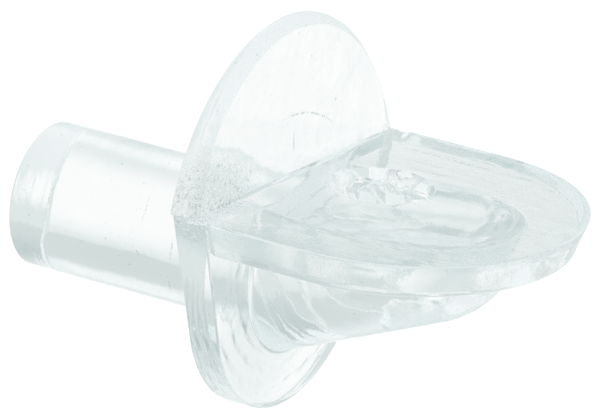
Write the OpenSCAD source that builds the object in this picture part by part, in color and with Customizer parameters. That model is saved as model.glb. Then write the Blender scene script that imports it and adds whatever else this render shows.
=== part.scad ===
// Shelf support pin, moulded in one piece from clear plastic.
// A round peg goes into the hole in the cabinet side, the flange rests against
// that side, and the shelf lies on the flat plate. A slanting round-nosed rib
// under the plate carries the load down to the lower half of the flange.
//
// X runs along the peg: the peg points to -X, the shelf plate to +X.
// Z is up. The origin is on the peg's axis, at the flange's back face.

/* [Peg] */
// Diameter of the peg, to suit the hole in the cabinet side
peg_d = 5.0; // [4.5:0.1:6.5]
// Length of the peg behind the flange
peg_l = 8.7; // [6:0.1:14]
// Radius of the peg's end edge
peg_edge_r = 0.25; // [0.1:0.05:0.6]

/* [Shelf plate] */
// Height of the plate's top above the peg's axis
plate_z = 3.0; // [2.7:0.1:3.6]
// Thickness of the plate
plate_t = 1.2; // [0.9:0.1:1.5]
// Width of the plate at its top
plate_w = 12.9; // [11.5:0.1:15]
// Reach of the plate from the flange's back face
plate_reach = 11.2; // [10.6:0.1:15]
// Radius of the plate's tip, as a share of half its width
tip_share = 1.07; // [1.02:0.01:1.15]
// Radius of the plate's two corners, as a share of half its width
corner_share = 0.87; // [0.75:0.01:0.95]
// How far the plate's edge slants in from its top to its bottom
plate_draft = 0.39; // [0.1:0.01:0.45]

/* [Flange] */
// Height of the flange above the plate's top
flange_rise = 5.3; // [4:0.1:6]
// Depth of the flange below the peg's axis
flange_drop = 5.15; // [5:0.05:6]
// Radius of the flange's lower arc
lower_r = 4.9; // [4.4:0.1:5.2]
// Thickness of the upper half at its top
rise_t_top = 0.5; // [0.4:0.05:0.7]
// Thickness of the upper half where it meets the plate
rise_t_foot = 0.95; // [0.8:0.05:1.1]
// Thickness of the lower half where it meets the plate
drop_t_foot = 1.25; // [1.15:0.05:1.6]
// Thickness of the lower half at its bottom
drop_t_end = 1.1; // [0.8:0.05:1.15]
// Step in along each side of the lower half, at the mould's parting line
parting_step = 0.15; // [0.05:0.01:0.3]
// Bevel around the upper half's rim, measured through the thickness
bevel_x = 0.32; // [0.15:0.01:0.35]
// Bevel around the upper half's rim, measured in from the rim
bevel_r = 0.32; // [0.1:0.01:0.5]

/* [Rib] */
// Radius of the rib's ball nose
nose_r = 3.4; // [2.8:0.1:3.8]
// Distance of the nose's centre from the flange's back face
nose_x = 5.9; // [5:0.05:6.2]
// Depth of the nose's centre below the plate's top
nose_dz = 0.5; // [0.2:0.05:0.8]
// Radius of the rib where it leaves the flange
root_r = 2.9; // [2.4:0.1:3.1]
// Height of the rib's middle where it leaves the flange, from the peg's axis
root_z = 0; // [-0.3:0.05:0.3]

/* [Hidden] */
$fn = 128;

clear_plastic = [0.88, 0.94, 0.93, 0.55];

// The plate's outline: straight sides, two corner arcs and a tip arc, all tangent.
half_w = plate_w / 2;
tip_r = tip_share * half_w;
corner_r = corner_share * half_w;
tip_x = plate_reach - tip_r;
corner_y = half_w - corner_r;
corner_x = tip_x + sqrt(pow(tip_r - corner_r, 2) - pow(corner_y, 2));

// The flange's upper half: an arc that ends as wide as the plate.
upper_r = (pow(half_w, 2) + pow(flange_rise, 2)) / (2 * flange_rise);
upper_z = plate_z + flange_rise - upper_r;
rise_lean = atan2(rise_t_foot - rise_t_top, flange_rise);

// The flange's lower half: flanks that run down from the parting line onto an arc.
lower_half_w = half_w - parting_step;
lower_z = lower_r - flange_drop;
flank_far = norm([lower_half_w, plate_z - lower_z]);
flank_turn = atan2(plate_z - lower_z, lower_half_w) - acos(lower_r / flank_far);
flank_y = lower_r * cos(flank_turn);
flank_z = lower_z + lower_r * sin(flank_turn);
flank_slope = (lower_half_w - flank_y) / (plate_z - flank_z);

// The plate's root is a hair narrower than the flange's lower half.
root_x = drop_t_foot + 0.3;
root_w = lower_half_w - 0.02;
root_low_w = root_w - plate_t * flank_slope;

// The rib's axis, and the cone that touches its ball nose.
rib_run = norm([nose_x - drop_t_foot, plate_z - nose_dz - root_z]);
rib_rise = atan2(plate_z - nose_dz - root_z, nose_x - drop_t_foot);
rib_taper = asin((nose_r - root_r) / rib_run);
touch = nose_r * sin(rib_taper);
touch_w = nose_r * cos(rib_taper);
touch_x = nose_x - touch * cos(rib_rise);
bar_l = rib_run + root_r - touch;

// How far pieces are sunk into each other, so that they join as one solid.
sink = drop_t_end / 2;

// Carries a profile drawn as (y, z) along +X.
module along_x(length) {
    rotate([90, 0, 90]) linear_extrude(height = length) children();
}

// Carries a profile drawn as (x, z) along Y, on both sides of the middle plane.
module along_y(width) {
    rotate([90, 0, 0]) linear_extrude(height = width, center = true) children();
}

// Peg: a straight round pin with a rounded end edge, turned about X.
module peg() {
    r = peg_d / 2;
    rotate([0, -90, 0]) rotate_extrude() {
        translate([0, -sink]) square([r, sink + peg_l - peg_edge_r]);
        translate([0, -sink]) square([r - peg_edge_r, sink + peg_l]);
        intersection() {
            translate([r - peg_edge_r, peg_l - peg_edge_r]) circle(r = peg_edge_r);
            translate([r - peg_edge_r, peg_l - peg_edge_r]) square(peg_edge_r);
        }
    }
}

// Upper half of the flange: a round segment, thinner at the top, with a bevelled rim.
module flange_upper() {
    intersection() {
        along_x(2 * rise_t_foot) {
            intersection() {
                translate([0, upper_z]) circle(r = upper_r);
                translate([-2 * upper_r, plate_z]) square([4 * upper_r, 2 * upper_r]);
            }
            // Rooted in the plate below the parting line.
            translate([-root_low_w, plate_z - plate_t / 2]) square([2 * root_low_w, plate_t]);
        }
        along_y(4 * upper_r) polygon([
            [0, plate_z - plate_t],
            [rise_t_foot, plate_z - plate_t],
            [rise_t_foot, plate_z],
            [rise_t_top, plate_z + flange_rise],
            [0, plate_z + flange_rise]
        ]);
        bevel_cone();
    }
}

// A cone square to the upper half's leaning front, which bevels its rim evenly.
module bevel_cone() {
    taper = bevel_r / bevel_x;
    translate([rise_t_foot, 0, plate_z])
        rotate([0, 90 - rise_lean, 0])
            translate([plate_z - upper_z, 0, -2 * rise_t_foot])
                cylinder(
                    h = 3 * rise_t_foot,
                    r1 = upper_r - bevel_r + 2 * rise_t_foot * taper,
                    r2 = upper_r - bevel_r - rise_t_foot * taper
                );
}

// Lower half of the flange: a smaller arc with straight flanks, leaning at the front.
module flange_lower() {
    intersection() {
        along_x(2 * drop_t_foot) {
            translate([0, lower_z]) circle(r = lower_r);
            polygon([
                [-lower_half_w, plate_z],
                [lower_half_w, plate_z],
                [flank_y, flank_z],
                [-flank_y, flank_z]
            ]);
        }
        along_y(4 * lower_r) polygon([
            [0, -flange_drop],
            [drop_t_end, -flange_drop],
            [drop_t_foot, plate_z],
            [0, plate_z]
        ]);
    }
}

// A disc of the plate's thickness whose edge slants in toward the bottom.
module drafted_disc(r) {
    cylinder(h = plate_t, r1 = r - plate_draft, r2 = r);
}

// Shelf plate: a tongue with a round front, on a root as narrow as the flange below it.
module plate() {
    // Root, between the flange and the tongue.
    translate([sink, 0, 0]) along_x(root_x - sink) polygon([
        [-root_w, plate_z],
        [root_w, plate_z],
        [root_low_w, plate_z - plate_t],
        [-root_low_w, plate_z - plate_t]
    ]);
    // Straight sides.
    translate([root_x, 0, 0]) along_x(corner_x - root_x) polygon([
        [-half_w, plate_z],
        [half_w, plate_z],
        [half_w - plate_draft, plate_z - plate_t],
        [-half_w + plate_draft, plate_z - plate_t]
    ]);
    translate([0, 0, plate_z - plate_t]) {
        // Two corners.
        intersection() {
            union() for (side = [-1, 1])
                translate([corner_x, side * corner_y, 0]) drafted_disc(corner_r);
            translate([root_x, -plate_w, -plate_t]) cube([2 * plate_reach, 2 * plate_w, 3 * plate_t]);
        }
        // Tip, between the two lines through the corners' centres.
        intersection() {
            translate([tip_x, 0, 0]) drafted_disc(tip_r);
            linear_extrude(height = plate_t) polygon([
                [tip_x, 0],
                [tip_x + 3 * (corner_x - tip_x) * tip_r / corner_y, -3 * tip_r],
                [tip_x + 3 * (corner_x - tip_x) * tip_r / corner_y, 3 * tip_r]
            ]);
        }
    }
}

// Rib: a round bar that widens from the flange to a ball nose in the plate's underside.
// Above its middle its sides stand upright, so that it leaves the mould downward.
module rib() {
    intersection() {
        union() {
            translate([nose_x, 0, plate_z - nose_dz])
                rotate([0, -90 - rib_rise, 0]) rib_bar();
            rib_sides();
        }
        translate([sink, -2 * nose_r, -2 * flange_drop])
            cube([2 * plate_reach, 4 * nose_r, 2 * flange_drop + plate_z - plate_t / 2]);
    }
}

// The round bar, turned about its own axis: a ball, and a cone that touches it.
module rib_bar() {
    rotate_extrude() {
        intersection() {
            circle(r = nose_r);
            translate([0, -nose_r]) square([nose_r, nose_r + touch]);
        }
        polygon([
            [0, touch],
            [touch_w, touch],
            [touch_w - bar_l * tan(rib_taper), touch + bar_l],
            [0, touch + bar_l]
        ]);
    }
}

// The upright sides, from the bar's widest lines up into the plate.
module rib_sides() {
    back_w = touch_w - (touch_x - sink) * tan(rib_taper) / cos(rib_rise);
    low_x = drop_t_foot - 2 * root_r;
    intersection() {
        linear_extrude(height = 2 * plate_z) polygon([
            [sink, -back_w],
            [touch_x, -touch_w],
            [touch_x, touch_w],
            [sink, back_w]
        ]);
        along_y(4 * nose_r) polygon([
            [low_x, root_z - 2 * root_r * tan(rib_rise)],
            [nose_x, plate_z - nose_dz],
            [nose_x, 2 * plate_z],
            [low_x, 2 * plate_z]
        ]);
    }
}

module shelf_pin() {
    color(clear_plastic) {
        peg();
        flange_upper();
        flange_lower();
        plate();
        rib();
    }
}

shelf_pin();
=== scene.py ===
# %% [markdown]
# # A clear plastic shelf pin
# A shelf pin carries one corner of a cabinet shelf. This one is a single piece of clear
# polycarbonate: a peg, a round flange, a flat plate and a slanting rib under the plate.
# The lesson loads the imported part, makes a finer skin for it, gives the skin a clear plastic,
# and lights it on a white table. Clear plastic has no colour of its own to speak of: what the
# eye reads is the room, bent by every edge, so soft edges and the light matter most here.

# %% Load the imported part
import math
import bmesh
import bpy
import numpy as np
from mathutils import Matrix, Vector


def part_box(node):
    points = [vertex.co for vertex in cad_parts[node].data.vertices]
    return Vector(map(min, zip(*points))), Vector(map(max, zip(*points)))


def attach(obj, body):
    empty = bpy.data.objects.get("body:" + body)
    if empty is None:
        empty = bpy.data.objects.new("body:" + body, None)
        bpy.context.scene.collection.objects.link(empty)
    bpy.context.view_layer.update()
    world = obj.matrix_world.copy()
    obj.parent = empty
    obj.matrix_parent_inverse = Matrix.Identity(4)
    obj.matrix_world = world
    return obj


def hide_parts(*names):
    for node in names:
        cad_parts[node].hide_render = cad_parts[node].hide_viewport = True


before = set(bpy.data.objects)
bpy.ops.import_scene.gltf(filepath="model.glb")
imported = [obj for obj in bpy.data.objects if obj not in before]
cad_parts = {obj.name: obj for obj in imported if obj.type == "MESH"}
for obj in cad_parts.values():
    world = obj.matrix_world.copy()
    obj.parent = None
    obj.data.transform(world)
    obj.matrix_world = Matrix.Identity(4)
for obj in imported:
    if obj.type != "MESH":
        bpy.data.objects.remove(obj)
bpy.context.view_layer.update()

MM = 0.001

# %% [markdown]
# ## Driving sizes
# The part's box gives the peg's length, the plate's reach and width, and the flange's top and
# bottom. The few other sizes are the mould's own: thicknesses, radii and slants in millimetres.
# Everything below is worked out from these, so the skin lies on the part by construction. The
# peg's end edge is a little sharper than the part's, and the part's sharp edges get a small round.

# %% Sizes, in millimetres
low, high = (np.array(corner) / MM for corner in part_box("shelf_pin"))
# Peg: its radius and length, and the round of its end edge.
PEG_R, PEG_L, PEG_EDGE = 2.5, -low[0], 0.12
# Plate: its reach and half its width, the height of its top, its thickness and its edge's slant.
REACH, HALF_W = high[0], high[1]
PLATE_Z, PLATE_T, PLATE_DRAFT = 3.0, 1.2, 0.39
# Flange: its rise above the plate and its drop below the axis, the radius of its lower arc, and
# the step between its two halves.
RISE, DROP, LOWER_R, STEP = high[2] - PLATE_Z, -low[2], 4.9, 0.15
# Flange: the upper half's thickness at its top and foot, the lower half's at its foot and end,
# and the bevel of the upper rim.
RISE_TOP, RISE_FOOT, DROP_FOOT, DROP_END, BEVEL = 0.5, 0.95, 1.25, 1.1, 0.32
# Rib: the radius and middle of its ball nose, and the radius and height of its root.
NOSE_R, NOSE_X, NOSE_Z, ROOT_R, ROOT_Z = 3.4, 5.9, 2.5, 2.9, 0.0
# The small round on every other outer edge, and the hair by which faces that would otherwise lie
# in one plane are set apart.
EDGE, HAIR = 0.07, 0.02
print("reach", round(REACH, 2), "half width", round(HALF_W, 2), "rise", round(RISE, 2))

# %% [markdown]
# ## Rings into a closed skin
# Each form of the pin is a stack of rings: closed loops with the same number of points, one
# after another along the form. Joining each ring to the next gives a wall of quads, and one
# face closes each end. Numpy works out all the points at once as an array of rings. Blender's
# own cylinders could stand for a few of the forms, but they don't lean and thin out as moulded
# forms do.

# %% Helpers: arcs, turned profiles and closed skins
def arc(centre, radius, start, stop, count):
    """Points on a circle: centre + radius * (cos a, sin a), for angles from start to stop."""
    angle = np.radians(np.linspace(start, stop, count))
    return np.stack([centre[0] + radius * np.cos(angle), centre[1] + radius * np.sin(angle)], -1)


def turned(profile, count=160):
    """Each profile point (x, r) becomes a ring (x, r cos t, r sin t) around the X axis."""
    x, r = profile[:, :1], profile[:, 1:]
    turn = np.linspace(0, 2 * np.pi, count, endpoint=False)
    return np.stack([np.broadcast_to(x, (len(x), count)), r * np.cos(turn), r * np.sin(turn)], -1)


def skin(name, rings):
    """Quads between ring i and ring i + 1, point j to point j + 1, and one face at each end."""
    m, n, _ = rings.shape
    index = np.arange(m * n).reshape(m, n)
    here, there = index[:-1], index[1:]
    quads = np.stack([here, np.roll(here, -1, 1), np.roll(there, -1, 1), there], -1).reshape(-1, 4)
    mesh = bpy.data.meshes.new(name)
    mesh.from_pydata((rings.reshape(-1, 3) * MM).tolist(), [],
                     quads.tolist() + [index[0][::-1].tolist(), index[-1].tolist()])
    shell = bmesh.new()
    shell.from_mesh(mesh)
    bmesh.ops.recalc_face_normals(shell, faces=shell.faces)
    shell.to_mesh(mesh)
    print(name, "points", m * n, "volume, mm3:", round(shell.calc_volume() / MM ** 3, 2))
    shell.free()
    form = bpy.data.objects.new(name, mesh)
    bpy.context.scene.collection.objects.link(form)
    return form


# Quarter-round edge: how far in and how far back each ring of it lies.
edge_turn = np.radians([0, 30, 60, 90])
edge_in, edge_back = EDGE * (1 - np.sin(edge_turn)), EDGE * (1 - np.cos(edge_turn))
print("edge round, mm: in", edge_in.round(3), "back", edge_back.round(3))

# %% [markdown]
# ## Peg
# The peg is a plain round pin with a small round at its free end. Where it meets the flange the
# mould leaves a tiny cove. Both are part of one profile, which is turned around the X axis, so
# no edge has to be rounded afterwards.

# %% Peg
PEG_COVE = 0.12
peg_profile = np.concatenate([
    arc((-PEG_L + PEG_EDGE, PEG_R - PEG_EDGE), PEG_EDGE, 180, 90, 7),
    # A few rings keep the long straight wall's faces short.
    [[-6.0, PEG_R], [-4.0, PEG_R], [-2.0, PEG_R]],
    arc((-PEG_COVE, PEG_R + PEG_COVE), PEG_COVE, 270, 358, 7),
    # The last ring is sunk in the flange.
    [[RISE_TOP - 0.1, PEG_R + PEG_COVE]],
])
peg = skin("peg", turned(peg_profile))

# %% [markdown]
# ## Flange, upper half
# The flange's outline is a circle above the plate and a smaller circle below it, and the two
# meet in a small step at the plate's top, where the two halves of the mould close. The upper
# half could be a disc with a Bevel modifier, but its front leans, because it thins toward its
# rim. In a stack of outlines each front ring leans too, and the last of them draw in for the
# bevel.

# %% Flange, upper half
UPPER_R = (HALF_W ** 2 + RISE ** 2) / (2 * RISE)
UPPER_Z = PLATE_Z + RISE - UPPER_R


def upper_outline(inset):
    """A circle's part above the plate, drawn in by the inset, with a root sunk in the plate."""
    radius = UPPER_R - inset
    first = math.degrees(math.asin((PLATE_Z - UPPER_Z) / radius))
    # The root is narrower than the plate and ends inside the plate's thickness.
    root = [[-6.0, PLATE_Z - HAIR], [-5.9, 2.6], [5.9, 2.6], [6.0, PLATE_Z - HAIR]]
    return np.concatenate([arc((0, UPPER_Z), radius, first, 180 - first, 150), root])


def upper_front(z):
    """The front face's distance from the back face, which falls evenly with the height z."""
    return RISE_FOOT - (z - PLATE_Z) * (RISE_FOOT - RISE_TOP) / RISE


def ring(x, outline):
    """One ring: the outline (y, z) at the distance x, which may differ from point to point."""
    return np.column_stack([np.broadcast_to(x, len(outline)), outline])


# How far in each ring of the bevel lies. The bevel is even, so the same distances, taken in
# reverse, say how far back the rings lie. The close pairs at both ends round its corners.
bevel_inset = np.array([0, 0.008, 0.03, BEVEL - 0.03, BEVEL + 0.02, BEVEL + 0.08])
upper_rings = [ring(back, upper_outline(inset)) for inset, back in zip(edge_in, edge_back)]
for inset, back in zip(bevel_inset, bevel_inset[::-1]):
    outline = upper_outline(inset)
    upper_rings.append(ring(upper_front(outline[:, 1]) - back, outline))
flange_upper = skin("flange_upper", np.array(upper_rings))

# %% [markdown]
# ## Flange, lower half
# Below the plate straight flanks run down onto the smaller arc. The height and radius of that
# arc give the one angle at which a flank touches it, so it is worked out and not set by eye. The
# rings are stacked as in the upper half. This half is thicker, because the rib pushes on it.

# %% Flange, lower half
LOWER_Z, LOWER_W = LOWER_R - DROP, HALF_W - STEP
flank_far = math.hypot(LOWER_W, PLATE_Z - LOWER_Z)
flank_turn = math.atan2(PLATE_Z - LOWER_Z, LOWER_W) - math.acos(LOWER_R / flank_far)


def lower_outline(inset):
    """A circle below, and on each side the straight flank that touches it, up to the plate."""
    radius, turn = LOWER_R - inset, math.degrees(flank_turn)
    bottom = arc((0, LOWER_Z), radius, turn, -180 - turn, 120)
    top_y = (radius - math.sin(flank_turn) * (PLATE_Z - LOWER_Z)) / math.cos(flank_turn)
    flank = np.linspace([top_y, PLATE_Z], bottom[0], 8)[:-1]
    return np.concatenate([flank, bottom, flank[::-1] * [-1, 1]])


def lower_front(z):
    """The lower half's front face, which leans back evenly below the plate's top."""
    return DROP_FOOT + (z - PLATE_Z) * (DROP_FOOT - DROP_END) / (PLATE_Z + DROP)


lower_rings = [ring(back, lower_outline(inset)) for inset, back in zip(edge_in, edge_back)]
for inset, back in zip(edge_in[::-1], edge_back[::-1]):
    outline = lower_outline(inset)
    lower_rings.append(ring(lower_front(outline[:, 1]) - back, outline))
flange_lower = skin("flange_lower", np.array(lower_rings))

# %% [markdown]
# ## Shelf plate
# The plate's outline is a tongue: straight sides, two corner arcs and a tip arc that all touch.
# Its rim slants in toward the underside so that the pin leaves the mould. An extruded outline
# would have an upright rim, so this is a stack of rings from the underside to the top, and the
# inset at each height gives the slant.

# %% Shelf plate
TIP_R, CORNER_R = 1.07 * HALF_W, 0.87 * HALF_W
TIP_X, CORNER_Y = REACH - TIP_R, HALF_W - CORNER_R
CORNER_X = TIP_X + math.sqrt((TIP_R - CORNER_R) ** 2 - CORNER_Y ** 2)
# In front of the flange the plate widens by the step, smoothly, over a short run.
WIDEN_X, WIDEN_RUN = 1.3, 0.32
side_x = np.concatenate([[0.5, 0.9], np.linspace(WIDEN_X, WIDEN_X + WIDEN_RUN, 9),
                         np.linspace(1.9, CORNER_X, 12)[:-1]])
step = np.clip((side_x - WIDEN_X) / WIDEN_RUN, 0, 1)
side_y = HALF_W - (STEP + HAIR) * (1 - step * step * (3 - 2 * step))


def plate_outline(inset):
    """Side, corner arc, tip arc, corner arc, side, all drawn in by the same inset."""
    meet = math.degrees(math.atan2(CORNER_Y, CORNER_X - TIP_X))
    side = np.column_stack([side_x, inset - side_y])
    corner = arc((CORNER_X, -CORNER_Y), CORNER_R - inset, -90, -meet, 40)
    tip = arc((TIP_X, 0), TIP_R - inset, -meet, meet, 60)[1:-1]
    return np.concatenate([side, corner, tip, corner[::-1] * [1, -1], side[::-1] * [1, -1]])


inset = np.concatenate([PLATE_DRAFT + edge_in, edge_in[::-1]])
height = np.concatenate([PLATE_Z - PLATE_T + edge_back, PLATE_Z - edge_back[::-1]])
plate_rings = np.array([
    np.column_stack([plate_outline(i), np.full(len(plate_outline(i)), z)])
    for i, z in zip(inset, height)
])
plate = skin("plate", plate_rings)

# %% [markdown]
# ## Rib
# The rib is a round bar that widens from the flange to a ball nose under the plate. Above its
# widest line its sides stand upright, so a second form, a wedge as wide as the bar, fills the
# space up to the plate.

# %% Rib
rib_run = math.hypot(NOSE_X - DROP_FOOT, NOSE_Z - ROOT_Z)
rib_rise = math.atan2(NOSE_Z - ROOT_Z, NOSE_X - DROP_FOOT)
rib_taper = math.asin((NOSE_R - ROOT_R) / rib_run)
touch, touch_w = NOSE_R * math.sin(rib_taper), NOSE_R * math.cos(rib_taper)
# The rib ends at this distance inside the flange and at this height inside the plate. The bar
# starts longer than that, and is trimmed.
SUNK_X, SUNK_Z, SPARE = 0.5, 2.4, 3.2
behind = np.linspace(0, rib_run + SPARE - touch, 24)[1:]
bar = turned(np.concatenate([
    arc((0, 0), NOSE_R, 1, 90 + math.degrees(rib_taper), 60),
    np.column_stack([-touch - behind, touch_w - behind * math.tan(rib_taper)]),
]), 200)
rise_cos, rise_sin = math.cos(rib_rise), math.sin(rib_rise)
rib_bar = skin("rib_bar", np.stack([
    NOSE_X + bar[..., 0] * rise_cos - bar[..., 2] * rise_sin, bar[..., 1],
    NOSE_Z + bar[..., 0] * rise_sin + bar[..., 2] * rise_cos], -1))


def trim(form, point, outward):
    """Cuts the form off beyond a plane through the point, and closes the cut with one face."""
    mesh = bmesh.new()
    mesh.from_mesh(form.data)
    cut = bmesh.ops.bisect_plane(
        mesh, geom=mesh.verts[:] + mesh.edges[:] + mesh.faces[:], dist=1e-9,
        plane_co=[p * MM for p in point], plane_no=outward, clear_outer=True)
    rim = [e for e in cut["geom_cut"] if isinstance(e, bmesh.types.BMEdge)]
    bmesh.ops.edgeloop_fill(mesh, edges=rim)
    bmesh.ops.recalc_face_normals(mesh, faces=mesh.faces)
    mesh.to_mesh(form.data)
    mesh.free()


trim(rib_bar, (0, 0, SUNK_Z), (0, 0, 1))
trim(rib_bar, (SUNK_X, 0, 0), (-1, 0, 0))

touch_x = NOSE_X - touch * rise_cos
wedge_x = np.array([SUNK_X, touch_x])
wedge_w = touch_w - (touch_x - wedge_x) * math.tan(rib_taper) / rise_cos
wedge_z = np.minimum(NOSE_Z - (NOSE_X - wedge_x) * math.tan(rib_rise), SUNK_Z - HAIR / 2)
# The wedge's underside lies inside the bar, drawn in by this much.
WEDGE_IN = 0.4
wedge_low = np.minimum(wedge_z - WEDGE_IN, SUNK_Z - HAIR)
top = np.full(2, SUNK_Z)
rib_sides = skin("rib_sides", np.stack([
    np.stack([wedge_x, y, z], -1) for y, z in (
        (wedge_w, top), (wedge_w, wedge_z), (wedge_w - WEDGE_IN, wedge_low),
        (WEDGE_IN - wedge_w, wedge_low), (-wedge_w, wedge_z), (-wedge_w, top))
], 1))

# %% [markdown]
# ## Cove between the plate's top and the flange
# Where two faces meet in an inside corner the mould leaves a small cove. Its cross-section is
# the hollow side of a circle that touches both faces, carried along the corner. A Bevel modifier
# could round the corners of the joined skin, but it needs clean edges, and a union leaves short
# and ragged ones. The first cove runs straight across the plate, and thins out at both ends.

# %% Cove between the plate's top and the flange
def cove(name, path, first, second, radius, arc_points=7):
    """Carries a hollow quarter along the path. With unit normals a and b of the two faces and
    the radius r, the circle's centre is path + r (a + b) / (1 + a . b), and the arc runs from
    centre - r a to centre - r b. One more point lies behind the corner, inside the solid."""
    radius = np.broadcast_to(radius, len(path))[:, None]
    first, second = (n / np.linalg.norm(n, axis=-1, keepdims=True) for n in (first, second))
    dot = (first * second).sum(-1, keepdims=True)
    centre = path + radius * (first + second) / (1 + dot)
    half = np.arccos(np.clip(dot, -1, 1)) / 2
    middle = (first + second) / np.linalg.norm(first + second, axis=-1, keepdims=True)
    across = (first - second) / np.linalg.norm(first - second, axis=-1, keepdims=True)
    # The arc goes a little further round and lies a little deeper, so that its ends are sunk.
    further, deeper = 1.03, 1.01
    hollow = [
        centre - deeper * radius * (np.cos(half * part) * middle + np.sin(half * part) * across)
        for part in np.linspace(further, -further, arc_points)
    ]
    behind = path - 0.8 * radius * middle
    return skin(name, np.stack(hollow + [behind], 1))


def even(vector, count):
    """The same vector, once for each of count points."""
    return np.tile(np.array(vector, float), (count, 1))


CHORD_R, CHORD_W, CHORD_POINTS = 0.16, 6.25, 60
chord = np.linspace(-CHORD_W, CHORD_W, CHORD_POINTS)
chord_path = np.stack([np.full(CHORD_POINTS, RISE_FOOT), chord, np.full(CHORD_POINTS, PLATE_Z)], -1)
upper_lean, lower_lean = (RISE_FOOT - RISE_TOP) / RISE, (DROP_FOOT - DROP_END) / (PLATE_Z + DROP)
chord_cove = cove(
    "chord_cove", chord_path, even([1, 0, upper_lean], CHORD_POINTS), even([0, 0, 1], CHORD_POINTS),
    CHORD_R * np.maximum(1 - np.abs(chord / CHORD_W) ** 8, 0.05))

# %% [markdown]
# ## Coves around the rib
# One cove runs around the rib's root on the flange, and one around the rib under the plate. Their
# paths are where the rib's straight sides, its cone and its ball meet those two faces. All three
# forms have formulas, so the paths are exact and the coves lie tight in the corners.

# %% Coves around the rib
RIB_COVE_R = 0.2
axis = np.array([rise_cos, 0, rise_sin])
upright, sideways = np.array([-rise_sin, 0, rise_cos]), np.array([0, 1.0, 0])
taper_slope = math.tan(rib_taper)
cone_r = touch_w + touch * taper_slope
side_slope = taper_slope / rise_cos


def on_cone(turn, plane, level):
    """Where each straight line of the cone, at the angle turn, meets plane . point = level. The
    line is nose - t axis + (cone_r - t slope) spoke, so the distance t follows directly."""
    spoke = np.cos(turn)[:, None] * sideways + np.sin(turn)[:, None] * upright
    start = np.array([NOSE_X, 0, NOSE_Z]) + cone_r * spoke
    step = -axis - taper_slope * spoke
    along = (level - start @ plane) / (step @ plane)
    normal = math.cos(rib_taper) * spoke - math.sin(rib_taper) * axis
    return start + along[:, None] * step, normal


def side_wall(x, z, side):
    """Points on an upright side of the rib at (x, z), and its normals; side is 1 or -1."""
    y = side * (touch_w - (touch_x - x) * side_slope)
    return np.stack([x, y, z], -1), even([-side_slope, side, 0], len(x))


# Around the rib's root: down one side, around the cone's lower half, and up the other side.
front_plane = np.array([1, 0, -lower_lean])
front_level = DROP_FOOT - lower_lean * PLATE_Z
under, under_n = on_cone(np.linspace(0, -np.pi, 70)[1:-1], front_plane, front_level)
# The path starts and ends inside the plate.
down = np.linspace(PLATE_Z - PLATE_T + 0.3, ROOT_Z + HAIR, 12)
right_side = side_wall(lower_front(down), down, 1)
left_side = side_wall(lower_front(down[::-1]), down[::-1], -1)
root_path = np.concatenate([right_side[0], under, left_side[0]])
root_normal = np.concatenate([right_side[1], under_n, left_side[1]])
root_cove = cove("root_cove", root_path, even([1, 0, -lower_lean], len(root_path)), root_normal,
                 RIB_COVE_R)

# Around the rib under the plate: along one side, around the ball nose, and back.
under_z = PLATE_Z - PLATE_T
ball_r = math.sqrt(NOSE_R ** 2 - (NOSE_Z - under_z) ** 2)
mid_x = NOSE_X - (NOSE_Z - under_z) / math.tan(rib_rise)
# The path starts and ends inside the flange.
out_x = np.linspace(DROP_FOOT - 0.2, mid_x, 14)
out_side = side_wall(out_x, np.full(len(out_x), under_z), 1)
# The cone's part of the path runs from its widest line through this angle, and the ball's part
# lies between this angle and its mirror image, both in radians.
CONE_TURN, BALL_TURN = -0.185, np.pi / 2 - 0.03
cone_side = on_cone(np.linspace(0, CONE_TURN, 7)[1:], np.array([0, 0, 1.0]), under_z)
round_turn = np.linspace(BALL_TURN, -BALL_TURN, 60)
ball = np.stack([
    NOSE_X + ball_r * np.cos(round_turn), ball_r * np.sin(round_turn),
    np.full(len(round_turn), under_z)], -1)
ball_n = (ball - np.array([NOSE_X, 0, NOSE_Z])) / NOSE_R
# Both sides mirror each other, so the path and its normals come back along the mirrored ones.
mirror = np.array([1, -1, 1])
nose_path, nose_normal = (
    np.concatenate([side, cone, nose, cone[::-1] * mirror, side[::-1] * mirror])
    for side, cone, nose in zip(out_side, cone_side, (ball, ball_n))
)
nose_cove = cove("nose_cove", nose_path, even([0, 0, -1], len(nose_path)), nose_normal, RIB_COVE_R)

# %% [markdown]
# ## Gate scar
# The plastic ran into the mould through a gate, and the runner was torn off there. That leaves a
# shallow, crumpled dent in the middle of the plate, sunk so that the shelf still lies flat. Its
# folds are steep enough to turn light through large angles, so it is the liveliest spot on the
# pin, and it is a piece of surface and not a shading trick. Here is the tool that presses it in.

# %% Gate scar
# The dent's middle, half its length and width, and its depth.
SCAR_X, SCAR_Y, SCAR_LONG, SCAR_WIDE, SCAR_DEEP = 3.7, 0.85, 1.9, 1.9, 0.55
# The creased waves: the direction that each runs in, in radians, and its length.
CREASES = ((0.4, 1.35), (1.5, 1.1), (2.6, 1.6))
# How far the tool's face stays above the plate outside the dent, and how far its back does.
CLEAR, BACK = 0.04, 0.3
# Folds: the mean of three creased waves |sin|, which run in three directions over the plate and
# are bent by slow sines. They sink into the plate inside an oval and stay just above it outside.
along, across = np.meshgrid(np.linspace(-1, 1, 121), np.linspace(-1, 1, 121), indexing="ij")
inside = np.clip((1 - along ** 2 - across ** 2) / 0.3, 0, 1)
along, across = SCAR_LONG * along, SCAR_WIDE * across
bent_along, bent_across = along + 0.3 * np.sin(2.1 * across + 1), across + 0.3 * np.sin(1.7 * along)
folds = sum(
    np.abs(np.sin(math.pi * (bent_along * math.cos(way) + bent_across * math.sin(way)) / length + way))
    for way, length in CREASES
) / len(CREASES)
dent = PLATE_Z + CLEAR - (CLEAR + SCAR_DEEP * folds) * inside ** 2 * (3 - 2 * inside)
tool_face = np.stack([SCAR_X + along, SCAR_Y + across, dent], -1)
tool_back = np.stack([SCAR_X + along, SCAR_Y + across, np.full_like(along, PLATE_Z + BACK)], -1)
scar_tool = skin("scar_tool", np.concatenate([tool_face, tool_back[:, ::-10]], 1))

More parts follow.
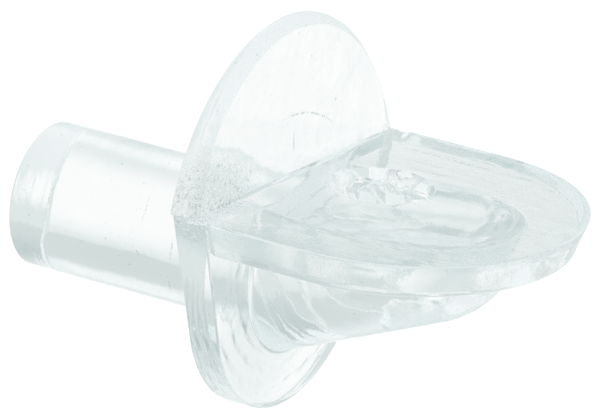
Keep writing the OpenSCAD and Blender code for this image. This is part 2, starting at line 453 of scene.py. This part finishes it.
# %% [markdown]
# ## One piece
# Boolean unions turn the overlapping forms into one closed skin with no walls inside, because
# light in a clear solid would show every hidden wall. Then each corner of each face gets a
# normal: smooth across the small rounds, and led by the large flat faces beside them. The scar's
# tool is taken away last.

# %% Join the forms
forms = [peg, flange_upper, flange_lower, plate, rib_bar, rib_sides,
         chord_cove, root_cove, nose_cove, scar_tool]
body = forms[0]
for form in forms[1:]:
    join = body.modifiers.new(form.name, "BOOLEAN")
    join.operation = "DIFFERENCE" if form is scar_tool else "UNION"
    join.solver, join.object = "EXACT", form
graph = bpy.context.evaluated_depsgraph_get()
pin_mesh = bpy.data.meshes.new_from_object(body.evaluated_get(graph))
for form in forms:
    bpy.data.objects.remove(form)
pin_mesh.name = "clear_shelf_pin"
pin_mesh.shade_smooth()
# Edges that turn by more than this many degrees stay sharp.
SHARP = 38
pin_mesh.set_sharp_from_angle(angle=math.radians(SHARP))
pin = bpy.data.objects.new("clear_shelf_pin", pin_mesh)
bpy.context.scene.collection.objects.link(pin)
weigh = pin.modifiers.new("flat faces lead", "WEIGHTED_NORMAL")
weigh.keep_sharp, weigh.weight = True, 80
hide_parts("shelf_pin")
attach(pin, "root")
print("faces of the joined skin:", len(pin_mesh.polygons))

# %% [markdown]
# ## Clear polycarbonate
# The pin is injection moulded: hot polycarbonate is pressed into a steel mould, cools and is
# pushed out. It is clear, with a faint cool tint where light has a long way through it, and it
# bends light strongly. Its skin copies the steel: nearly smooth, never quite flat, with the
# strokes of the polisher's stone, and with rubs and dirt from a life in a bag of loose pins.
#
# Two small functions serve all materials. One turns the hex colours that people read into the
# linear values that shaders use. The other adds a node with its settings and inputs in one go.

# %% Colour and node helpers
def linear(hex_colour):
    """Turns an sRGB hex colour into the linear values that shaders use."""
    srgb = np.array([int(hex_colour[i:i + 2], 16) for i in (1, 3, 5)]) / 255
    value = np.where(srgb <= 0.04045, srgb / 12.92, ((srgb + 0.055) / 1.055) ** 2.4)
    return (*value.tolist(), 1.0)


def add(tree, kind, inputs=(), **settings):
    """Adds a node: settings are its attributes, inputs its sockets' values or links."""
    node = tree.nodes.new(kind)
    for name, value in settings.items():
        setattr(node, name, value)
    for socket, value in dict(inputs).items():
        if isinstance(value, bpy.types.NodeSocket):
            tree.links.new(value, node.inputs[socket])
        else:
            node.inputs[socket].default_value = value
    return node


print("mid grey #808080 in linear light:", [round(v, 3) for v in linear("#808080")[:3]])

# %% [markdown]
# ## Where each finish lies
# One material covers the whole pin, because it is one piece. What differs from place to place is
# how the steel was finished there, how much the pin is rubbed, and where shade and glow are
# painted on, so each such place gets a region: an oval of the pin's own coordinates in
# millimetres, which fades out toward its edge.
# region: an oval of the pin's own coordinates in millimetres, which fades out toward its edge.
# Such places could be painted by hand, but a formula needs no image and stays where it is put.

# %% Regions of the pin
plastic = bpy.data.materials.new("clear_moulded_polycarbonate")
plastic.use_nodes = True
tree = plastic.node_tree
tree.nodes.clear()
metres = add(tree, "ShaderNodeTexCoord").outputs["Object"]
place = add(tree, "ShaderNodeVectorMath", {0: metres, "Scale": 1 / MM}, operation="SCALE").outputs[0]


def oval(tree, place, middle, reach, fade):
    """Nodes that give 1 in the inner half of an oval with this middle and reach along x, y and z,
    and fade to 0 at its edge: the length of (place - middle) / reach, mapped from 1 ... 0.5."""
    way = add(tree, "ShaderNodeVectorMath", {0: place, 1: middle}, operation="SUBTRACT").outputs[0]
    way = add(tree, "ShaderNodeVectorMath", {0: way, 1: reach}, operation="DIVIDE").outputs[0]
    way = add(tree, "ShaderNodeVectorMath", {0: way}, operation="LENGTH").outputs["Value"]
    return add(tree, "ShaderNodeMapRange", {"Value": way, "From Min": 1.0, "From Max": 0.5},
               interpolation_type=fade).outputs["Result"]


REGIONS = {
    # middle (x, y, z) and reach along x, y, z
    "plate top": ((6.5, 0, 3), (8, 10, 0.5)),
    "peg": ((-5, 0, 0), (6, 4, 4)),
    "upper flange": ((0.4, 0, 6.5), (1.5, 9, 4.5)),
    "lower flange": ((0.6, 0, -3), (2, 8, 6)),
    "root corner": ((0.7, -5.2, 3.4), (1.2, 3.2, 1.7)),
    "gate scar": ((SCAR_X, SCAR_Y, PLATE_Z), (2.4, 2.4, 2)),
    "near edge": ((3.5, -6.3, 2.3), (5, 1.2, 1.3)),
    "lower left": ((0.8, -3.0, -3.2), (2, 4.2, 3.4)),
    "rib": ((5.5, 0, 0.5), (5.5, 5.5, 4.5)),
    "rib root": ((1.9, -1.2, -2.2), (2.2, 3.6, 2.6)),
    "peg end": ((-8.2, -1.0, -2.3), (2.2, 3.0, 1.7)),
}
region = {
    name: oval(tree, place, middle, reach, "SMOOTHSTEP") for name, (middle, reach) in REGIONS.items()
}
print("regions of the skin:", ", ".join(region))

# %% [markdown]
# ## The skin's relief
# Each layer is a noise: how many of its grains fit in a millimetre along x, y and z, how deep it
# is in millimetres, and the region it lies in, if it isn't all over. A few grains per millimetre
# across and a fraction of one along make strokes. The slopes matter more than the depths, since
# clear plastic shows relief only by bending light. The stroke and grain layers are really finer,
# down to hundredths of a millimetre. They are drawn coarser, because such fine ones would not
# show at this size.

# %% Relief
RELIEF = {
    # The plastic shrinks a little unevenly as it cools.
    "shrinkage waves": ((0.5, 0.5, 0.5), 0.05, None),
    # The plate's steel was stoned along its length.
    "plate strokes": ((0.25, 3.5, 3.5), 0.02, "plate top"),
    # The peg leaves the mould endways and is drawn along x.
    "peg strokes": ((0.3, 4, 4), 0.008, "peg"),
    # A fine haze of grain from handling.
    "grain": ((9, 9, 9), 0.0015, None),
    # Vapour and flakes caught in the mould's corner, where the parting line runs.
    "corner grain": ((5, 5, 5), 0.06, "root corner"),
}
relief = 0.0
for grains, depth, where in RELIEF.values():
    at = add(tree, "ShaderNodeVectorMath", {0: place, 1: grains}, operation="MULTIPLY").outputs[0]
    layer = add(tree, "ShaderNodeTexNoise", {"Vector": at, "Scale": 1.0, "Detail": 2.0}).outputs[0]
    if where:
        depth = add(tree, "ShaderNodeMath", {0: region[where], 1: depth}, operation="MULTIPLY").outputs[0]
    relief = add(tree, "ShaderNodeMath", {0: layer, 1: depth, 2: relief},
                 operation="MULTIPLY_ADD").outputs[0]
# The lower flange's steel was turned: rings about the peg's axis, pulled out of true by hand. A
# wave repeats after 2 pi / (20 * scale), so they lie 0.7 mm apart.
RING_SCALE, RING_DEPTH = 0.45, 0.02
rings = add(tree, "ShaderNodeTexWave", {
    "Vector": place, "Scale": RING_SCALE, "Distortion": 5.0, "Detail": 2.0,
}, wave_type="RINGS", rings_direction="X").outputs["Fac"]
depth = add(tree, "ShaderNodeMath", {0: region["lower flange"], 1: RING_DEPTH},
            operation="MULTIPLY").outputs[0]
relief = add(tree, "ShaderNodeMath", {0: rings, 1: depth, 2: relief}, operation="MULTIPLY_ADD").outputs[0]
bump = add(tree, "ShaderNodeBump", {"Height": relief, "Strength": 1.0, "Distance": MM}).outputs[0]
print("relief layers:", ", ".join(RELIEF), "and turned rings")

# %% [markdown]
# ## Sheen and flecks
# Rubbed places scatter light a little, so roughness goes up there. Flecks are specks of dirt and
# bruises: they darken the light that passes through them. They are a sharply cut noise, so most
# of the skin has none, and they crowd in the corner.

# %% Roughness and flecks
def by_region(tree, start, shares):
    """Nodes that add to the start each region times its share."""
    total = start
    for where, share in shares.items():
        total = add(tree, "ShaderNodeMath", {0: region[where], 1: share, 2: total},
                    operation="MULTIPLY_ADD").outputs[0]
    return total


POLISHED = 0.03
rough = by_region(tree, POLISHED, {
    "plate top": 0.02, "root corner": 0.12, "lower flange": 0.05, "upper flange": 0.05,
    "gate scar": 0.06, "near edge": 0.12,
})
# Flecks start where the noise passes the first level and are full at the second. In the corner
# the noise is raised, so more of it passes. A full fleck takes this share of the spots' colour.
FLECK_FROM, FLECK_FULL, FLECK_SHARE = 0.70, 0.76, 0.7
at = add(tree, "ShaderNodeVectorMath", {0: place, 1: (7, 7, 7)}, operation="MULTIPLY").outputs[0]
noise = add(tree, "ShaderNodeTexNoise", {"Vector": at, "Scale": 1.0, "Detail": 2.0}).outputs[0]
crowd = by_region(tree, noise, {"root corner": 0.11})
flecks = add(tree, "ShaderNodeMapRange", {
    "Value": crowd, "From Min": FLECK_FROM, "From Max": FLECK_FULL, "To Max": FLECK_SHARE,
}, interpolation_type="SMOOTHSTEP").outputs[0]
print("roughness from", POLISHED, "and flecks where the noise passes", FLECK_FROM)

# %% [markdown]
# ## Marks with a shape
# Three marks are lines and not noise: the witness ring of a mould insert ten millimetres across
# on the flange's back, a nick in the flange's front, and the row of bruises along the plate's far
# side, where pins lie against each other. Each is thin and broken up by the same noise.

# %% Ring, nick and bruises
MARKS = {
    # middle (x, y, z) and reach along x, y, z
    "ring part": ((0, 1.3, 4.4), (0.3, 2.1, 1.2)),
    "nick": ((0.87, -0.18, 4.14), (0.3, 0.05, 0.4)),
    "bruises": ((4.2, 4.82, 3), (3.0, 0.06, 0.3)),
}
mark = {name: oval(tree, place, middle, reach, "LINEAR") for name, (middle, reach) in MARKS.items()}
# The ring is where the distance from its axis is its radius, to a few hundredths of a millimetre.
RING_R, RING_Z = 5.08, -0.26
from_axis = add(tree, "ShaderNodeVectorMath", {0: place, 1: (0, 0, RING_Z)}, operation="SUBTRACT").outputs[0]
from_axis = add(tree, "ShaderNodeVectorMath", {0: from_axis, 1: (0, 1, 1)}, operation="MULTIPLY").outputs[0]
from_axis = add(tree, "ShaderNodeVectorMath", {0: from_axis}, operation="LENGTH").outputs["Value"]
off_ring = add(tree, "ShaderNodeMath", {0: from_axis, 1: RING_R}, operation="SUBTRACT").outputs[0]
off_ring = add(tree, "ShaderNodeMath", {0: off_ring}, operation="ABSOLUTE").outputs[0]
line = add(tree, "ShaderNodeMapRange", {"Value": off_ring, "From Min": 0.05, "From Max": 0.02}).outputs[0]
line = add(tree, "ShaderNodeMath", {0: line, 1: mark["ring part"]}, operation="MULTIPLY").outputs[0]
lines = add(tree, "ShaderNodeMath", {0: line, 1: mark["nick"]}, operation="MAXIMUM").outputs[0]
lines = add(tree, "ShaderNodeMath", {0: lines, 1: mark["bruises"]}, operation="MAXIMUM").outputs[0]
broken = add(tree, "ShaderNodeMapRange", {"Value": noise, "From Min": 0.42, "From Max": 0.55}).outputs[0]
lines = add(tree, "ShaderNodeMath", {0: lines, 1: broken}, operation="MULTIPLY").outputs[0]
spots = add(tree, "ShaderNodeMath", {0: flecks, 1: lines}, operation="MAXIMUM").outputs[0]
print("marks:", ", ".join(MARKS))

# %% [markdown]
# ## Worn places and painted shade
# Where the pin is rubbed, it has scratches too fine to draw one by one. Together they take a
# little light, so they are drawn as a faint grey-green. The same grey-green is also painted shade
# on the lower left of the lower flange, the lower side of the peg's end, the rib's root and the
# corner by the flange: these places are simply made darker, low down and in the corners. The
# scar is sunk out of reach and clear.

# %% Tint of the plastic
CLEAN, RUBS_AND_SHADE, SPOT = "#FEFFFF", "#E8F0EF", "#9DB4B2"
# Rubs on the plate's top and near edge; painted shade low down and in the corners.
rubs_and_shade = by_region(tree, 0.0, {
    "plate top": 1.0, "root corner": 0.3, "near edge": 1.0, "lower left": 0.7, "rib root": 1.0,
    "peg end": 0.8, "gate scar": -1.5,
})
rubs_and_shade = add(tree, "ShaderNodeClamp", {"Value": rubs_and_shade}).outputs[0]
clear = add(tree, "ShaderNodeMix", {"Factor": rubs_and_shade, 6: linear(CLEAN), 7: linear(RUBS_AND_SHADE)},
            data_type="RGBA").outputs[2]
tint = add(tree, "ShaderNodeMix", {"Factor": spots, 6: clear, 7: linear(SPOT)},
           data_type="RGBA").outputs[2]
print("tint: clean", CLEAN, "rubs_and_shade", RUBS_AND_SHADE, "spots", SPOT)

# %% [markdown]
# ## The clear plastic
# Light bends strongly as it enters polycarbonate, and much of it turns back inside again and
# again before it finds a way out. A renderer follows it for only so many turns. In place of the
# light that has turned back too often to follow, a soft glow is painted on the plastic, nearly
# white like the room: painted light, not a lamp.

# %% Clear moulded polycarbonate
# Light counts as trapped past this many turns inside, or this many surfaces met in all.
MOST_TURNS, MOST_SURFACES = 4.5, 12.5
path = add(tree, "ShaderNodeLightPath").outputs
turned_often = add(tree, "ShaderNodeMath", {0: path["Glossy Depth"], 1: MOST_TURNS},
                   operation="GREATER_THAN").outputs[0]
met_often = add(tree, "ShaderNodeMath", {0: path["Ray Depth"], 1: MOST_SURFACES},
                operation="GREATER_THAN").outputs[0]
trapped = add(tree, "ShaderNodeMath", {0: turned_often, 1: met_often}, operation="MAXIMUM").outputs[0]
# The painted glow is brightest in the thick rib and dimmest in the peg, furthest from the lamps.
GLOW, RIB_GLOW, PEG_GLOW = "#F4F9FA", "#FFFFFF", "#E2ECEC"
glow = add(tree, "ShaderNodeMix", {"Factor": region["rib"], 6: linear(GLOW), 7: linear(RIB_GLOW)},
           data_type="RGBA").outputs[2]
glow = add(tree, "ShaderNodeMix", {"Factor": region["peg"], 6: glow, 7: linear(PEG_GLOW)},
           data_type="RGBA").outputs[2]
POLYCARBONATE_IOR = 1.585
shader = add(tree, "ShaderNodeBsdfPrincipled", {
    "Base Color": tint, "Transmission Weight": 1.0, "IOR": POLYCARBONATE_IOR, "Roughness": rough,
    "Normal": bump, "Emission Color": glow, "Emission Strength": trapped})
add(tree, "ShaderNodeOutputMaterial", {"Surface": shader.outputs[0]})
plastic.cycles.emission_sampling = "NONE"
pin.data.materials.clear()
pin.data.materials.append(plastic)
print("material:", plastic.name, "with", len(tree.nodes), "nodes")

# %% [markdown]
# ## White studio
# The pin is held in front of a bright white sweep, and clear plastic shows whatever lies behind
# each of its faces. So the room is painted by direction: nearly white low down, a soft grey-green
# above the horizon, with a few large soft panels that are darker or lighter than the rest. The
# camera itself sees plain white.

# %% Light of the room, by direction from the pin
# A patch: compass angle and height of its middle, half its spread, all in degrees, and its colour.
TABLE = "#DBE5E4"
ON_THE_TABLE = {
    "white sweep behind the pin": (128, -22, 29, "#FFFFFF"),
    "paper on the right": (44, -61, 51, "#EEF3F4"),
    "paper on the left": (158, -72, 38, "#F4F8F9"),
    "card beside the peg's end": (56, -21, 15, "#FFFFFF"),
    "strip of paper under the peg": (150, -57, 13, "#FFFFFF"),
    "end of the sweep on the left": (156, -33, 14, "#FCFEFE"),
    "card behind the flange": (224, -16, 17, "#F8FBFB"),
}
# The part of a patch's spread within which it is full.
FULL_PART = 0.3
# A level: the sines of the heights where it starts and where it is full, and its colour.
ABOVE_THE_TABLE = {
    "wall": (0.031, 0.069, "#D1DBDA"),
    "row of lamps": (0.389, 0.551, "#F5F9FA"),
    "ceiling": (0.70, 0.924, "#C5D1D1"),
}
IN_THE_AIR = {
    "lamp cloth on the left": (163, 24, 30, "#E9F0F0"),
    "lit foot of the cloth": (153, 10, 10, "#FFFFFF"),
    "shaded wall on the right": (49, 49, 48, "#BFCBCB"),
    "shaded wall on the left": (209, 52, 54, "#D5DFDE"),
    "lamp beside the camera": (317, 26, 20, "#FFFFFF"),
}


def room_light(tree, direction):
    """Nodes for the room's colour in a direction. The table's colour comes first, with its
    patches, then each level above the table, then the patches in the air. A patch is full within
    the inner part of its spread and fades smoothly to nothing at its edge."""
    height = add(tree, "ShaderNodeSeparateXYZ", {0: direction}).outputs["Z"]
    shares = []
    for patches in (ON_THE_TABLE, IN_THE_AIR):
        for turn, rise, spread, colour in patches.values():
            turn, rise = math.radians(turn), math.radians(rise)
            middle = (math.cos(rise) * math.cos(turn), math.cos(rise) * math.sin(turn), math.sin(rise))
            near = add(tree, "ShaderNodeVectorMath", {0: direction, 1: middle}, operation="DOT_PRODUCT")
            edge, full = math.cos(math.radians(spread)), math.cos(math.radians(FULL_PART * spread))
            shares.append((near.outputs["Value"], edge, full, colour))
        if patches is ON_THE_TABLE:
            shares += [(height, *level) for level in ABOVE_THE_TABLE.values()]
    room = linear(TABLE)
    for value, start, full, colour in shares:
        share = add(tree, "ShaderNodeMapRange", {"Value": value, "From Min": start, "From Max": full},
                    interpolation_type="SMOOTHSTEP").outputs["Result"]
        room = add(tree, "ShaderNodeMix", {"Factor": share, 6: room, 7: linear(colour)},
                   data_type="RGBA").outputs[2]
    return room


print("parts of the room:", ", ".join([*ON_THE_TABLE, *ABOVE_THE_TABLE, *IN_THE_AIR]))

# %% [markdown]
# ## World
# The world gives the room's light from every side. Straight in the camera's eye it is plain
# white, as a paper backdrop lit to full brightness would be, while the plastic sees the room.
# The sweep straight behind the pin is plain white to the plastic too, so the background goes on
# through the thin clear walls.

# %% World
world = bpy.data.worlds.new("white_studio")
bpy.context.scene.world = world
world.use_nodes = True
tree = world.node_tree
tree.nodes.clear()
room = room_light(tree, add(tree, "ShaderNodeTexCoord").outputs["Generated"])
by_eye = add(tree, "ShaderNodeLightPath").outputs["Is Camera Ray"]
seen = add(tree, "ShaderNodeMix", {"Factor": by_eye, 6: room, 7: (1, 1, 1, 1)}, data_type="RGBA").outputs[2]
sky = add(tree, "ShaderNodeBackground", {"Color": seen, "Strength": 1.0})
add(tree, "ShaderNodeOutputWorld", {"Surface": sky.outputs[0]})
print("world:", world.name)

# %% [markdown]
# ## Floor
# The pin is held above a large white table, which lies low enough for the pin's shadow to fall
# softly and out of the way. To the eye the paper is white: most of that is its own even glow, and
# the rest is light on its matt face, so a shadow still shows on it. To the plastic it has the
# room's colour for the direction it lies in, so that the room goes on below the horizon without
# a seam.

# %% Floor
FLOOR_Z, FLOOR_R = -25.0, 1500.0
floor_mesh = bpy.data.meshes.new("white_table")
rim = arc((0, 0), FLOOR_R, 0, 360, 65)[:-1]
floor_mesh.from_pydata((np.column_stack([rim, np.full(len(rim), FLOOR_Z)]) * MM).tolist(), [],
                       [list(range(len(rim)))])
floor = bpy.data.objects.new("white_table", floor_mesh)
bpy.context.scene.collection.objects.link(floor)
paper = bpy.data.materials.new("matt_white_table_paper")
paper.use_nodes = True
tree = paper.node_tree
tree.nodes.clear()
# How brightly the paper glows to the eye, and how much of the light on it comes back.
OWN_GLOW, MATT = 0.8, 0.35
metres = add(tree, "ShaderNodeTexCoord").outputs["Object"]
direction = add(tree, "ShaderNodeVectorMath", {0: metres}, operation="NORMALIZE").outputs["Vector"]
to_plastic = add(tree, "ShaderNodeEmission", {"Color": room_light(tree, direction), "Strength": 1.0})
to_eye = add(tree, "ShaderNodeEmission", {"Color": (1, 1, 1, 1), "Strength": OWN_GLOW})
matt = add(tree, "ShaderNodeBsdfDiffuse", {"Color": (MATT, MATT, MATT, 1)})
lit_paper = add(tree, "ShaderNodeAddShader", {0: to_eye.outputs[0], 1: matt.outputs[0]})
path = add(tree, "ShaderNodeLightPath").outputs
by_plastic = add(tree, "ShaderNodeMath", {0: path["Is Glossy Ray"], 1: path["Is Transmission Ray"]},
                 operation="MAXIMUM").outputs[0]
table = add(tree, "ShaderNodeMixShader", {0: by_plastic, 1: lit_paper.outputs[0], 2: to_plastic.outputs[0]})
add(tree, "ShaderNodeOutputMaterial", {"Surface": table.outputs[0]})
paper.cycles.emission_sampling = "NONE"
floor_mesh.materials.append(paper)
print("table at z =", FLOOR_Z, "mm")

# %% [markdown]
# ## Camera
# A long lens stands about 27 centimetres away, to the right of the pin's side and above it, and
# is turned a few degrees about its own axis. The two angles say where it stands as seen from the
# pin: around from the front (-Y) toward the plate, and up from the table.

# %% Camera
AZIMUTH, ELEVATION, ROLL = (math.radians(angle) for angle in (29.9074, 19.0765, 4.3265))
TARGET, DISTANCE = Vector((0.6447, 0.9304, 1.4027)) * MM, 266.25 * MM
back = Vector((math.sin(AZIMUTH) * math.cos(ELEVATION), -math.cos(AZIMUTH) * math.cos(ELEVATION),
               math.sin(ELEVATION)))
right = Vector((math.cos(AZIMUTH), math.sin(AZIMUTH), 0))
up = back.cross(right)
camera_data = bpy.data.cameras.new("camera")
camera_data.sensor_width, camera_data.lens = 36, 477.73
camera_data.clip_start, camera_data.clip_end = 0.01, 10
camera = bpy.data.objects.new("camera", camera_data)
bpy.context.scene.collection.objects.link(camera)
stand = Matrix.Identity(4)
stand.col[0][:3] = math.cos(ROLL) * right + math.sin(ROLL) * up
stand.col[1][:3] = -math.sin(ROLL) * right + math.cos(ROLL) * up
stand.col[2][:3] = back
stand.translation = TARGET + back * DISTANCE
camera.matrix_world = stand
bpy.context.scene.camera = camera
bpy.context.scene.view_settings.view_transform = "Standard"
print("camera at, mm:", [round(v / MM, 1) for v in camera.matrix_world.translation])
